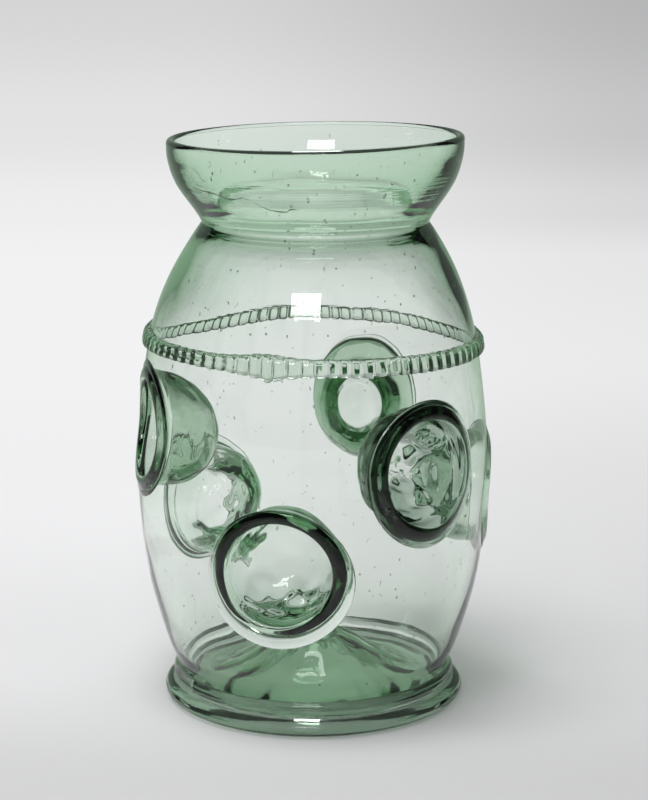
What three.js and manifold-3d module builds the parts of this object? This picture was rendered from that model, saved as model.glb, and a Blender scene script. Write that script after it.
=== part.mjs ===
// A free-blown thumb glass: a barrel-shaped vessel with a drawn-in neck, a cup-shaped mouth and a
// kicked base, six hollow thumb cups let into its wall, a milled thread laid round its shoulder
// and a foot wound in two turns. Lengths are in millimetres, +Z is up and the front faces -Y.
// The origin is on the axis, at the level that the foot stands on.

import * as THREE from 'three';
import { mergeVertices } from 'three/addons/utils/BufferGeometryUtils.js';
import Module from 'manifold-3d';

// Vessel: the levels and outer radii that its outline runs through
const rimHeight = 199;
const mouthRadius = 51.5;
const neckHeight = 170.5;
const neckRadius = 39.6;
const bellyHeight = 82;
const bellyRadius = 62.1;
const heelHeight = 4.5;
const heelRadius = 45.8;
const standRadius = 42.6;
const standHeight = 1;

// Vessel: the thickness of the glass
const wallThickness = 1.7;
const mouthThickness = 3;
const baseThickness = 3.6;

// Vessel: the base, pushed up inside, and the scar of the rod that held it
const floorRadius = 43.6;
const floorHeight = 10.5;
const kickHeight = 24;
const scarRadius = 6.5;
const scarDepth = 0.8;

// Vessel: how far the hand-worked mouth leans and rises to the right
const mouthLean = 1;
const rimLift = 1.8;
const rimLiftAzimuth = 110;

// Thumb cups: hollow bowls sucked into the wall, each with a rolled lip on a thin pad
const cupRadius = 20.3;
const cupOpeningRadius = 17.1;
const cupDepth = 27;
const cupBottomThickness = 2;
const cupCollarDepth = 7;
const lipProud = 1.3;
const padRadius = 24.2;
const padThickness = 0.8;
const upperCupLevel = 97;
const lowerCupLevel = 62;

// Milled thread: a trail laid round the shoulder and impressed by a toothed wheel
const threadLevel = 129.6;
const threadHeight = 6;
const threadDepth = 2.4;
const toothDepth = 0.9;
const toothPitch = 4.3;
const threadTilt = 1.2;
const lapAzimuth = -13;
const lapWidth = 9;
const lapExtraHeight = 2.4;
const lapExtraDepth = 0.7;

// Foot: a trail wound twice round the heel
const lowerCoilRadius = 53.8;
const lowerCoilHeight = 5.9;
const lowerLandWidth = 4;
const upperCoilRadius = 49.8;
const upperCoilHeight = 5.6;
const upperLandWidth = 0.6;

// Fits
const clearance = 0.3;
const cutOverrun = 12;

// Counts
const roundSteps = 40;
const cupSteps = 24;
const outlineSteps = 24;
const arcSteps = 4;

// Outline of the wall: [share of the way outwards, share of the way up] in each stretch
const bodyShares = [[0, 0], [0.15, 0.1], [0.46, 0.26], [0.83, 0.57], [1, 1]];
const shoulderShares = [[0.9, 0.34], [0.67, 0.65], [0.31, 0.84], [0.06, 0.94], [0, 1]];
const mouthShares = [[0.19, 0.18], [0.73, 0.49], [0.96, 0.78], [1, 1]];

// Outline of the kick: [share of its radius, share of its height] from its foot to its top
const kickShares = [[1, 0], [0.8, 0.06], [0.52, 0.38], [0.26, 0.8], [0, 1]];

// Section of the thread: [share of its depth, share of half its height] from top to bottom,
// and its teeth along the trail: [share of the pitch, share of the tooth's depth sunk there]
const threadShares = [[0, 1], [1, 0.72], [1, -0.72], [0, -1]];
const toothShares = [[0, 0], [0.26, 0], [0.5, 1], [0.74, 1]];

// Places of the cups round the wall: degrees from the front towards +X, how far each one strays
// upwards from its row, as a share of the cup's radius, and how wide it came out, as a share
const cupPlaces = [
  { name: 'thumb_cup_left', azimuth: -78, level: upperCupLevel, strayShare: 0.15, wideShare: 1 },
  { name: 'thumb_cup_front', azimuth: -11, level: lowerCupLevel, strayShare: -0.1, wideShare: 1.03 },
  { name: 'thumb_cup_right_front', azimuth: 35, level: upperCupLevel, strayShare: -0.25, wideShare: 1.03 },
  { name: 'thumb_cup_right', azimuth: 94, level: lowerCupLevel, strayShare: 0.6, wideShare: 0.97 },
  { name: 'thumb_cup_back', azimuth: 161, level: upperCupLevel, strayShare: 0, wideShare: 0.94 },
  { name: 'thumb_cup_back_left', azimuth: -138, level: lowerCupLevel, strayShare: -0.05, wideShare: 0.98 },
];

const { lerp, degToRad, smoothstep } = THREE.MathUtils;
const wasm = await Module();
wasm.setup();

// A closed mesh as a solid that can be cut: shared corners are merged and empty faces dropped
function solidOf(geometry) {
  const bare = geometry.clone();
  bare.deleteAttribute('normal');
  bare.deleteAttribute('uv');
  const merged = mergeVertices(bare);
  const faces = merged.index.array;
  const kept = [];
  for (let i = 0; i < faces.length; i += 3) {
    const [a, b, c] = [faces[i], faces[i + 1], faces[i + 2]];
    if (a !== b && b !== c && c !== a) kept.push(a, b, c);
  }
  const vertProperties = new Float32Array(merged.attributes.position.array);
  const triVerts = new Uint32Array(kept);
  return new wasm.Manifold(new wasm.Mesh({ numProp: 3, vertProperties, triVerts }));
}

// A solid as a mesh again
function geometryOf(solid) {
  const mesh = solid.getMesh();
  const geometry = new THREE.BufferGeometry();
  geometry.setAttribute('position', new THREE.BufferAttribute(mesh.vertProperties, 3));
  geometry.setIndex(new THREE.BufferAttribute(mesh.triVerts, 1));
  return geometry;
}

// A skin over rows of points: each row is a ring, and a row of one point closes an end.
// Without closed ends the last row joins the first.
function skinOf(rows) {
  const points = rows.flat();
  const starts = [];
  let count = 0;
  for (const row of rows) {
    starts.push(count);
    count += row.length;
  }
  const faces = [];
  const capped = rows[0].length === 1;
  const bands = capped ? rows.length - 1 : rows.length;
  for (let r = 0; r < bands; r += 1) {
    const s = (r + 1) % rows.length;
    const steps = Math.max(rows[r].length, rows[s].length);
    for (let i = 0; i < steps; i += 1) {
      const j = (i + 1) % steps;
      const a = starts[r] + (i % rows[r].length);
      const b = starts[r] + (j % rows[r].length);
      const c = starts[s] + (j % rows[s].length);
      const d = starts[s] + (i % rows[s].length);
      if (rows[r].length > 1) faces.push(a, b, d);
      if (rows[s].length > 1) faces.push(b, c, d);
    }
  }
  const geometry = new THREE.BufferGeometry().setFromPoints(points);
  geometry.setIndex(faces);
  return geometry;
}

// The outline of the wall's outer face, from the heel up to the lip
function wallOutline() {
  const stretches = [
    [heelRadius, heelHeight, bellyRadius, bellyHeight, bodyShares],
    [neckRadius, bellyHeight, bellyRadius, neckHeight, shoulderShares],
    [neckRadius, neckHeight, mouthRadius, rimHeight - mouthThickness / 2, mouthShares],
  ];
  const points = stretches.flatMap(([inner, low, outer, high, shares]) => {
    return shares.map(([out, up]) => {
      return new THREE.Vector2(lerp(inner, outer, out), lerp(low, high, up));
    });
  });
  return new THREE.SplineCurve(points).getPoints(outlineSteps);
}

const outerWall = wallOutline();

// The outer radius of the wall at a level
function wallRadiusAt(level) {
  const i = outerWall.findIndex((point) => point.y >= level);
  if (i < 1) return i === 0 ? heelRadius : mouthRadius;
  const [low, high] = [outerWall[i - 1], outerWall[i]];
  return lerp(low.x, high.x, (level - low.y) / (high.y - low.y));
}

// The inner face of the wall, set in by the thickness there, down to the floor inside
function innerWall() {
  const points = outerWall.map((point, i) => {
    const before = outerWall[Math.max(i - 1, 0)];
    const after = outerWall[Math.min(i + 1, outerWall.length - 1)];
    const along = after.clone().sub(before).normalize();
    const share = smoothstep(point.y, bellyHeight, rimHeight);
    const thickness = lerp(wallThickness, mouthThickness, share);
    return new THREE.Vector2(point.x - along.y * thickness, point.y + along.x * thickness);
  });
  return points.filter((point) => point.y > floorHeight + baseThickness).reverse();
}

// The half round lip that joins the two faces of the wall at the rim
function lipOutline() {
  const points = [];
  const radius = mouthThickness / 2;
  for (let i = 1; i < arcSteps; i += 1) {
    const angle = (Math.PI * i) / arcSteps;
    const out = mouthRadius - radius + radius * Math.cos(angle);
    points.push(new THREE.Vector2(out, rimHeight - radius + radius * Math.sin(angle)));
  }
  return points;
}

// The kick seen from inside, and from below with the scar of the rod at its top
function kickOutlines() {
  const rise = kickHeight - floorHeight;
  const above = kickShares.map(([out, up]) => {
    return new THREE.Vector2(floorRadius * out, floorHeight + rise * up);
  });
  const below = kickShares.slice(0, -1).map(([out, up]) => {
    const level = lerp(standHeight, kickHeight - baseThickness, up);
    return new THREE.Vector2(standRadius * out, level);
  });
  const scarLevel = kickHeight - baseThickness - scarDepth;
  below.push(new THREE.Vector2(scarRadius, scarLevel));
  below.push(new THREE.Vector2(0, scarLevel));
  return { above, below: below.reverse() };
}

// The mouth leans and its rim rises on one side, as a hand-worked mouth does
function settleMouth(geometry) {
  const position = geometry.attributes.position;
  const highSide = degToRad(rimLiftAzimuth);
  const bend = threadLevel + threadHeight;
  for (let i = 0; i < position.count; i += 1) {
    const [x, y, z] = [position.getX(i), position.getY(i), position.getZ(i)];
    const lean = mouthLean * smoothstep(z, bend, neckHeight);
    const facing = Math.cos(Math.atan2(x, -y) - highSide);
    const lift = (rimLift * (1 + facing) * smoothstep(z, neckHeight, rimHeight)) / 2;
    position.setXYZ(i, x + lean, y, z + lift);
  }
  return geometry;
}

// The unit directions of a cup: out of the wall, across the wall, and up
function cupDirections(azimuth) {
  const angle = degToRad(azimuth);
  const out = new THREE.Vector3(Math.sin(angle), -Math.cos(angle), 0);
  const up = new THREE.Vector3(0, 0, 1);
  return { out, up, across: out.clone().cross(up) };
}

function cupLevel({ level, strayShare }) {
  return level + strayShare * cupRadius;
}

// The round hole that a cup passes through
function cupHole(place) {
  const { out, up, across } = cupDirections(place.azimuth);
  const length = 2 * (cupCollarDepth + cutOverrun);
  const radius = cupRadius * place.wideShare + clearance;
  const hole = new THREE.CylinderGeometry(radius, radius, length, cupSteps);
  const centre = out.clone().multiplyScalar(wallRadiusAt(cupLevel(place)));
  centre.z = cupLevel(place);
  hole.applyMatrix4(new THREE.Matrix4().makeBasis(across, out, up).setPosition(centre));
  return solidOf(hole);
}

function buildVessel() {
  const { above, below } = kickOutlines();
  const outline = [...below, ...outerWall, ...lipOutline(), ...innerWall(), ...above];
  const blown = new THREE.LatheGeometry(outline, roundSteps);
  blown.rotateX(Math.PI / 2);
  let vessel = solidOf(blown);
  for (const place of cupPlaces) vessel = vessel.subtract(cupHole(place));
  return settleMouth(geometryOf(vessel));
}

// One stretch of a bowl, from its bottom to its collar or back: radius, depth from the wall's
// outer face, and how far the row follows the round of the wall (0 flat, 1 the wall's own curve)
function bowlRows(radius, collarDepth, depth) {
  const rows = [];
  for (let i = 0; i <= arcSteps; i += 1) {
    const angle = (Math.PI * i) / (2 * arcSteps);
    const down = collarDepth + (depth - collarDepth) * Math.cos(angle);
    rows.push([radius * Math.sin(angle), down, 0]);
  }
  return rows;
}

// The rolled lip, from the opening over its crest to the pad
function lipRows(opening, outside) {
  const rows = [];
  const roll = (outside + clearance - opening) / 2;
  for (let i = 0; i < arcSteps; i += 1) {
    const angle = (Math.PI * i) / arcSteps;
    const out = opening + roll - roll * Math.cos(angle);
    rows.push([out, roll - lipProud - roll * Math.sin(angle), 1]);
  }
  return rows;
}

// The section of a cup: the hollow, the lip, the pad on the wall and the bowl's outside
function cupSection(wideShare) {
  const bowl = cupRadius * wideShare;
  const opening = cupOpeningRadius * wideShare;
  const edge = padRadius * wideShare;
  const hollow = bowlRows(opening, cupCollarDepth, cupDepth - cupBottomThickness);
  const outside = bowlRows(bowl, cupCollarDepth, cupDepth);
  const pad = [
    [bowl + padThickness, -clearance / 2 - padThickness, 1],
    [edge - padThickness, -clearance - padThickness / 2, 1],
    [edge, -clearance, 1],
    [bowl, -clearance, 1],
  ];
  return [...hollow, ...lipRows(opening, bowl), ...pad, ...outside.reverse()];
}

function buildThumbCup(place) {
  const { out, across } = cupDirections(place.azimuth);
  const level = cupLevel(place);
  const middle = wallRadiusAt(level);
  const rows = cupSection(place.wideShare).map(([radius, down, follow]) => {
    const row = [];
    const steps = radius > 0 ? cupSteps : 1;
    for (let i = 0; i < steps; i += 1) {
      const angle = (2 * Math.PI * i) / cupSteps;
      const sideways = radius * Math.cos(angle);
      const height = level + radius * Math.sin(angle);
      const onWall = Math.sqrt(wallRadiusAt(height) ** 2 - sideways ** 2);
      const reach = lerp(middle, onWall, follow) - down;
      const point = across.clone().multiplyScalar(sideways).addScaledVector(out, reach);
      point.z = height;
      row.push(point);
    }
    return row;
  });
  return skinOf(rows);
}

// How much of the lap of the thread's two ends lies at an azimuth, from 0 to 1
function lapShare(azimuth) {
  const turn = azimuth - degToRad(lapAzimuth);
  const away = Math.atan2(Math.sin(turn), Math.cos(turn)) * wallRadiusAt(threadLevel);
  return Math.exp(-(away ** 2) / lapWidth ** 2);
}

// The milled thread: upright ribs with flat crests, drawn out of a trail that tilts a little
function buildMilledThread() {
  const around = 2 * Math.PI * (wallRadiusAt(threadLevel) + threadDepth);
  const teeth = Math.round(around / toothPitch);
  const rows = [];
  for (let tooth = 0; tooth < teeth; tooth += 1) {
    toothShares.forEach(([along, sunk]) => {
      const azimuth = (2 * Math.PI * (tooth + along)) / teeth;
      const lap = lapShare(azimuth);
      const drop = Math.tan(degToRad(threadTilt)) * Math.sin(azimuth);
      const centre = threadLevel - drop * wallRadiusAt(threadLevel);
      const half = (threadHeight + lapExtraHeight * lap) / 2;
      const depth = threadDepth + lapExtraDepth * lap - toothDepth * sunk;
      rows.push(threadShares.map(([out, up]) => {
        const level = centre + half * up;
        const radius = wallRadiusAt(level) + lerp(clearance, depth, out);
        return new THREE.Vector3(radius * Math.sin(azimuth), -radius * Math.cos(azimuth), level);
      }));
    });
  }
  return skinOf(rows);
}

// A turn of the foot: it follows the heel inside, is round outside and has a flat land of its own
// above and below, where it lies on the other turn or stands
function buildCoil(bottom, height, radius, landWidth) {
  const half = height / 2;
  const inner = (level) => wallRadiusAt(level) + clearance;
  const levels = [bottom + height, bottom + half, bottom];
  const points = levels.map((level) => new THREE.Vector2(inner(level), level));
  for (let i = 0; i <= 2 * arcSteps; i += 1) {
    const angle = (Math.PI * i) / (2 * arcSteps);
    const land = inner(i < arcSteps ? bottom : bottom + height) + landWidth;
    const out = lerp(land, radius, Math.sin(angle));
    points.push(new THREE.Vector2(out, bottom + half - half * Math.cos(angle)));
  }
  points.push(points[0].clone());
  const coil = new THREE.LatheGeometry(points, roundSteps);
  coil.rotateX(Math.PI / 2);
  return coil;
}

function glass(colour, roughness) {
  return new THREE.MeshStandardMaterial({ color: colour, roughness, metalness: 0 });
}

const thumbGlass = new THREE.Group();

function add(name, geometry, material) {
  geometry.computeVertexNormals();
  const mesh = new THREE.Mesh(geometry, material);
  mesh.name = name;
  thumbGlass.add(mesh);
}

add('vessel', buildVessel(), glass(0xc9dccf, 0.06));
for (const place of cupPlaces) add(place.name, buildThumbCup(place), glass(0x7fa98a, 0.05));
add('milled_thread', buildMilledThread(), glass(0x9dbba3, 0.08));
const lowerCoil = buildCoil(0, lowerCoilHeight, lowerCoilRadius, lowerLandWidth);
const upperCoilLevel = lowerCoilHeight + clearance;
const upperCoil = buildCoil(upperCoilLevel, upperCoilHeight, upperCoilRadius, upperLandWidth);
add('upper_foot_coil', upperCoil, glass(0x6f9678, 0.08));
add('lower_foot_coil', lowerCoil, glass(0x66906f, 0.08));

export default thumbGlass;
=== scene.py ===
"""A free-blown thumb glass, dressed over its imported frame.

The glass is put together as it was made: a blown body with a kicked base and a drawn-in neck, hollow
thumb cups sucked into its wall, a milled thread round the shoulder and a foot wound in two turns.
Sizes are in millimetres and become metres as a mesh is made. Azimuths are in degrees from the front
(-Y) towards +X. The materials read object coordinates, which lie in the frame of the CAD model.
"""

import logging
import math
import random
from bisect import bisect_left
from contextlib import contextmanager
from dataclasses import dataclass, field
from enum import Enum
from functools import cached_property
from typing import Callable, Iterator, Sequence

import bmesh
import bpy
from mathutils import Matrix, Vector, noise


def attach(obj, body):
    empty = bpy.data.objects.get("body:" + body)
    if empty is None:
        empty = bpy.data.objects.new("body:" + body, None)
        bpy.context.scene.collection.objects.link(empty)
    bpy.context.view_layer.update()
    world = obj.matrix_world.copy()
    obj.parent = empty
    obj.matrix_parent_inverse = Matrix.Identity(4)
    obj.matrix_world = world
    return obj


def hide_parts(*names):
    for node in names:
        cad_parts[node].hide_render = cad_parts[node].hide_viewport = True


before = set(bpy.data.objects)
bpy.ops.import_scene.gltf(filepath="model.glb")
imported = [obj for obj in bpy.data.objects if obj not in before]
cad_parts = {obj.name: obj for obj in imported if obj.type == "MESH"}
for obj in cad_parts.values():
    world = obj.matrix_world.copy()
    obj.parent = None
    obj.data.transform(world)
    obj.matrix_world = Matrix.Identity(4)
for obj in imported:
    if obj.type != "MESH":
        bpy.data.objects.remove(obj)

MM = 0.001
MERGED = 0.0005 * MM
WHITE = (1.0, 1.0, 1.0, 1.0)
UP = Vector((0.0, 0.0, 1.0))
Point = tuple[float, float]
Triple = tuple[float, float, float]
Settle = Callable[[Vector], Vector]
Feed = float | tuple[float, ...] | bpy.types.NodeSocket
log = logging.getLogger("thumb_glass")


# Shapes in numbers


def blend(start: float, end: float, share: float) -> float:
    """Returns what lies a share of the way from start to end."""
    return start + (end - start) * share


def ease(value: float, start: float, end: float) -> float:
    """Returns a soft step that is 0 up to start and 1 from end on."""
    share = min(max((value - start) / (end - start), 0.0), 1.0)
    return share * share * (3.0 - 2.0 * share)


def swell(value: float, middle: float, width: float) -> float:
    """Returns a soft hump that is 1 at the middle and fades over the width."""
    return math.exp(-(((value - middle) / width) ** 2))


def turned(angle: float) -> float:
    """Returns an angle in degrees brought between -180 and 180."""
    return (angle + 180.0) % 360.0 - 180.0


def azimuth_of(point: Vector) -> float:
    """Returns the azimuth of a point."""
    return math.degrees(math.atan2(point.x, -point.y))


def placed_round(azimuth: float, radius: float, level: float) -> Vector:
    """Returns the place at an azimuth, a distance from the axis and a level."""
    angle = math.radians(azimuth)
    return Vector((radius * math.sin(angle), -radius * math.cos(angle), level))


def curve_through(points: Sequence[Point], steps: int) -> list[Point]:
    """Draws a smooth curve through points.

    Args:
        points: the points that the curve runs through, in order.
        steps: the number of pieces between each two of them.

    Returns:
        The points of the curve, both ends among them.
    """
    last = len(points) - 1
    drawn: list[Point] = []
    for i in range(last):
        before, start = points[max(i - 1, 0)], points[i]
        end, after = points[i + 1], points[min(i + 2, last)]
        for step in range(steps):
            t = step / steps
            drawn.append(tuple(through(before[k], start[k], end[k], after[k], t) for k in (0, 1)))
    drawn.append(points[last])
    return drawn


def through(before: float, start: float, end: float, after: float, t: float) -> float:
    """Returns one coordinate of a curve between start and end, t of the way along.

    Args:
        before: the coordinate of the point before start.
        start: the coordinate where this piece of the curve starts.
        end: the coordinate where it ends.
        after: the coordinate of the point after end.
        t: the share of the way from start to end.

    Returns:
        The coordinate on a Catmull-Rom curve.
    """
    leave, arrive = (end - before) / 2.0, (after - start) / 2.0
    cubic = 2.0 * start - 2.0 * end + leave + arrive
    square = -3.0 * start + 3.0 * end - 2.0 * leave - arrive
    return ((cubic * t + square) * t + leave) * t + start


def value_at(table: Sequence[Point], level: float) -> float:
    """Reads a radius from a rising table of (radius, level).

    Args:
        table: the rows, from the lowest level to the highest.
        level: the level to read at.

    Returns:
        The radius between the two nearest rows.
    """
    i = bisect_left(table, level, key=lambda row: row[1])
    if i <= 0:
        return table[0][0]
    if i >= len(table):
        return table[-1][0]
    low, high = table[i - 1], table[i]
    return blend(low[0], high[0], (level - low[1]) / max(high[1] - low[1], 1e-9))


def unevenness(x: float, y: float, z: float, size: float, seed: float) -> float:
    """Returns a smooth random value, about -1 to 1, that changes over a given size.

    Args:
        x: the place across.
        y: the place in depth.
        z: the place upwards.
        size: the distance over which the value changes.
        seed: a number that gives each use its own pattern.

    Returns:
        The value there.
    """
    return noise.noise(Vector((x / size + seed, y / size - seed, z / size + 2.0 * seed)))


# Work at the bench


def deselect_all() -> None:
    """Leaves every object unselected and out of edit mode."""
    if bpy.context.object and bpy.context.object.mode != "OBJECT":
        bpy.ops.object.mode_set(mode="OBJECT")
    bpy.ops.object.select_all(action="DESELECT")


def take_up(piece: bpy.types.Object) -> None:
    """Makes a piece the only one selected, and the active one.

    Args:
        piece: the piece.
    """
    deselect_all()
    piece.select_set(True)
    bpy.context.view_layer.objects.active = piece


@contextmanager
def edited(piece: bpy.types.Object) -> Iterator[None]:
    """Opens a piece in edit mode, with all of it selected, and closes it again.

    Args:
        piece: the piece.

    Yields:
        Nothing, while the piece is open.
    """
    take_up(piece)
    bpy.ops.object.mode_set(mode="EDIT")
    bpy.ops.mesh.select_all(action="SELECT")
    yield
    bpy.ops.object.mode_set(mode="OBJECT")


def draw_outline(name: str, points: Sequence[Point]) -> bpy.types.Object:
    """Draws an outline upright in the XZ plane, from a ring with as many points.

    Args:
        name: the name of the new object.
        points: the outline as (radius, level), either closed or from axis to axis.

    Returns:
        The new object.
    """
    deselect_all()
    closed = points[0] == points[-1]
    places = points[:-1] if closed else points
    bpy.ops.mesh.primitive_circle_add(vertices=len(places), radius=10.0 * MM, fill_type="NOTHING")
    line = bpy.context.object
    line.name = line.data.name = name
    for vertex, (radius, level) in zip(line.data.vertices, places):
        vertex.co = Vector((radius, 0.0, level)) * MM
    if not closed:
        open_ring(line, {0, len(places) - 1})
    return line


def open_ring(line: bpy.types.Object, ends: set[int]) -> None:
    """Opens a ring by taking out the edge between two of its points.

    Args:
        line: the ring.
        ends: the numbers of the two points.
    """
    with edited(line):
        bpy.ops.mesh.select_mode(type="EDGE")
        bpy.ops.mesh.select_all(action="DESELECT")
        bpy.ops.object.mode_set(mode="OBJECT")
        for edge in line.data.edges:
            edge.select = set(edge.vertices) == ends
        bpy.ops.object.mode_set(mode="EDIT")
        bpy.ops.mesh.delete(type="EDGE_FACE")
        bpy.ops.mesh.select_mode(type="VERT")


def spin_outline(name: str, points: Sequence[Point], steps: int) -> bpy.types.Object:
    """Spins an outline once round the upright axis into a closed body.

    Args:
        name: the name of the piece.
        points: the outline as (radius, level), from axis to axis or back to its own start.
        steps: the number of steps round.

    Returns:
        The piece, in object mode, with its faces outwards.
    """
    piece = draw_outline(name, points)
    spun = piece.modifiers.new("spun", "SCREW")
    spun.steps = spun.render_steps = steps
    spun.angle = 2.0 * math.pi
    spun.axis = "Z"
    spun.use_merge_vertices = True
    spun.merge_threshold = MERGED
    bpy.ops.object.modifier_apply(modifier=spun.name)
    with edited(piece):
        bpy.ops.mesh.remove_doubles(threshold=MERGED)
        bpy.ops.mesh.normals_make_consistent(inside=False)
    return piece


def settle(piece: bpy.types.Object, move: Settle) -> None:
    """Moves every point of a piece as hot glass settles.

    Args:
        piece: the piece.
        move: gives the new place of a point, both in millimetres.
    """
    for vertex in piece.data.vertices:
        vertex.co = move(vertex.co / MM) * MM
    piece.data.update()


def face_outwards(piece: bpy.types.Object) -> None:
    """Turns the faces of a closed piece outwards."""
    with edited(piece):
        bpy.ops.mesh.normals_make_consistent(inside=False)


def smooth(piece: bpy.types.Object, angle: float) -> None:
    """Shades a piece smooth, with edges steeper than the angle kept sharp."""
    take_up(piece)
    bpy.ops.object.shade_smooth_by_angle(angle=math.radians(angle))


def form(
    name: str, points: Sequence[Point], steps: int, move: Settle, angle: float
) -> bpy.types.Object:
    """Spins an outline, lets it settle and shades it.

    Args:
        name: the name of the piece.
        points: the outline as (radius, level), from axis to axis or back to its own start.
        steps: the number of steps round.
        move: gives the settled place of a point, both in millimetres.
        angle: the angle in degrees over which an edge stays sharp.

    Returns:
        The closed piece.
    """
    piece = spin_outline(name, points, steps)
    settle(piece, move)
    face_outwards(piece)
    smooth(piece, angle)
    return piece


# The shape of the wall that all the rest is laid on


@dataclass(frozen=True)
class HeavySide:
    """A side of the shoulder where glass gathered: its azimuth and width in degrees, and its depth."""

    azimuth: float
    width: float
    depth: float


@dataclass(frozen=True)
class BlownWall:
    """The wall of the vessel: its two faces by azimuth and level, uneven as blown glass is.

    The outer outline follows the CAD vessel, within about a millimetre at the shoulder.
    """

    heel: Point = (45.8, 4.5)
    belly: Point = (62.1, 82.0)
    neck: Point = (39.6, 170.5)
    mouth: Point = (51.5, 199.0)
    body_shares: tuple[Point, ...] = ((0, 0), (0.15, 0.1), (0.46, 0.26), (0.83, 0.57), (1, 1))
    shoulder_shares: tuple[Point, ...] = (
        (0.962, 0.203), (0.907, 0.34), (0.863, 0.43), (0.81, 0.52), (0.756, 0.587),
        (0.683, 0.655), (0.59, 0.723), (0.488, 0.785), (0.381, 0.84), (0.262, 0.894),
        (0.112, 0.956), (0.033, 0.985), (0, 1),
    )
    mouth_shares: tuple[Point, ...] = ((0.03, 0.035), (0.19, 0.15), (0.73, 0.49), (0.96, 0.78), (1, 1))
    thicknesses: tuple[Point, ...] = (
        (1.6, 10.0), (1.1, 22.0), (0.65, 46.0), (0.57, 80.0), (0.68, 118.0), (0.8, 135.0), (0.92, 150.0),
        (1.6, 162.0), (2.9, 168.0), (4.5, 172.8), (4.0, 177.5), (3.4, 185.0), (2.5, 193.0), (1.9, 199.0),
    )
    inside_from: float = 18.0
    lip_radius: float = 1.5
    thread_top: float = 135.6
    mouth_lean: float = 1.0
    rim_lift: float = 1.78
    rim_lift_azimuth: float = 110.0
    heavy_sides: tuple[HeavySide, ...] = (HeavySide(-74.0, 46.0, 2.6), HeavySide(84.0, 38.0, 1.7))
    heavy_level: float = 153.0
    heavy_height: float = 15.0
    outer_unevenness: float = 0.2
    inner_unevenness: float = 0.16
    fine_share: float = 0.22
    wander_size: float = 34.0
    broad_size: float = 21.0
    fine_size: float = 9.0
    broad_squeeze: float = 0.7
    fine_squeeze: float = 1.6
    wanders_over: Point = (8.0, 30.0)
    swells_over: Point = (14.0, 34.0)
    swells_until: Point = (188.0, 197.0)
    pattern_radius: float = 60.0
    outline_steps: int = 8
    thickness_steps: int = 6

    @cached_property
    def outline(self) -> list[Point]:
        """The outer outline as (radius, level), from the heel up to the lip."""
        lip = (self.mouth[0], self.mouth[1] - self.lip_radius)
        stretches = (
            (self.heel[0], self.heel[1], self.belly[0], self.belly[1], self.body_shares),
            (self.neck[0], self.belly[1], self.belly[0], self.neck[1], self.shoulder_shares),
            (self.neck[0], self.neck[1], lip[0], lip[1], self.mouth_shares),
        )
        points: list[Point] = []
        for inner, low, outer, high, shares in stretches:
            points += [(blend(inner, outer, out), blend(low, high, up)) for out, up in shares]
        return curve_through(points, self.outline_steps)

    @cached_property
    def thickness_table(self) -> list[Point]:
        """The thickness of the glass as (thickness, level), drawn smooth."""
        return curve_through(self.thicknesses, self.thickness_steps)

    def thickness_at(self, level: float) -> float:
        """Returns the thickness of the glass at a level."""
        return value_at(self.thickness_table, level)

    @cached_property
    def inner_outline(self) -> list[Point]:
        """The inner outline as (radius, level), from just above the floor up to the lip."""
        points: list[Point] = []
        last = len(self.outline) - 1
        for i, (radius, level) in enumerate(self.outline):
            before, after = self.outline[max(i - 1, 0)], self.outline[min(i + 1, last)]
            along = Vector((after[0] - before[0], after[1] - before[1])).normalized()
            thick = self.thickness_at(level)
            points.append((radius - along.y * thick, level + along.x * thick))
        return [point for point in points if point[1] > self.inside_from]

    def pattern_place(self, azimuth: float) -> Point:
        """Returns the place at which the unevenness is read for an azimuth."""
        angle = math.radians(azimuth)
        return self.pattern_radius * math.sin(angle), -self.pattern_radius * math.cos(angle)

    def wander(self, azimuth: float, level: float) -> float:
        """Measures how far both faces wander from the round outline.

        Args:
            azimuth: the azimuth of a place.
            level: its level.

        Returns:
            The distance outwards.
        """
        x, y = self.pattern_place(azimuth)
        share = ease(level, *self.wanders_over)
        uneven = unevenness(x, y, level, self.wander_size, 3.7)
        return self.outer_unevenness * share * (uneven - 0.5)

    def swelling(self, azimuth: float, level: float) -> float:
        """Measures how much thinner the wall is than its outline says.

        Args:
            azimuth: the azimuth of a place.
            level: its level.

        Returns:
            How far the inner face lies outside its outline.
        """
        x, y = self.pattern_place(azimuth)
        share = ease(level, *self.swells_over) * (1.0 - ease(level, *self.swells_until))
        broad = unevenness(x, y, level * self.broad_squeeze, self.broad_size, 8.2)
        fine = unevenness(x, y, level * self.fine_squeeze, self.fine_size, 1.4)
        heavy = sum(
            side.depth * swell(turned(azimuth - side.azimuth), 0.0, side.width) for side in self.heavy_sides
        )
        heavy *= swell(level, self.heavy_level, self.heavy_height)
        return self.inner_unevenness * share * (broad + self.fine_share * fine) - heavy

    def outer(self, azimuth: float, level: float) -> float:
        """Returns the radius of the outer face at a place."""
        return value_at(self.outline, level) + self.wander(azimuth, level)

    def inner(self, azimuth: float, level: float) -> float:
        """Returns the radius of the inner face at a place above the floor."""
        uneven = self.wander(azimuth, level) + self.swelling(azimuth, level)
        return value_at(self.inner_outline, level) + uneven

    def reach(
        self, face: Callable[[float, float], float], azimuth: float, side: float, level: float
    ) -> float:
        """Finds a face of the wall straight out from the axis, beside a given azimuth.

        Args:
            face: the outer or inner face, as its radius by azimuth and level.
            azimuth: the azimuth that is looked along.
            side: how far beside it, across the wall.
            level: the level.

        Returns:
            The distance of the face along the azimuth.
        """
        distance = face(azimuth, level)
        for _ in range(3):
            place = azimuth - math.degrees(math.atan2(side, distance))
            distance = math.sqrt(max(face(place, level) ** 2 - side**2, 1.0))
        return distance

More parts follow.
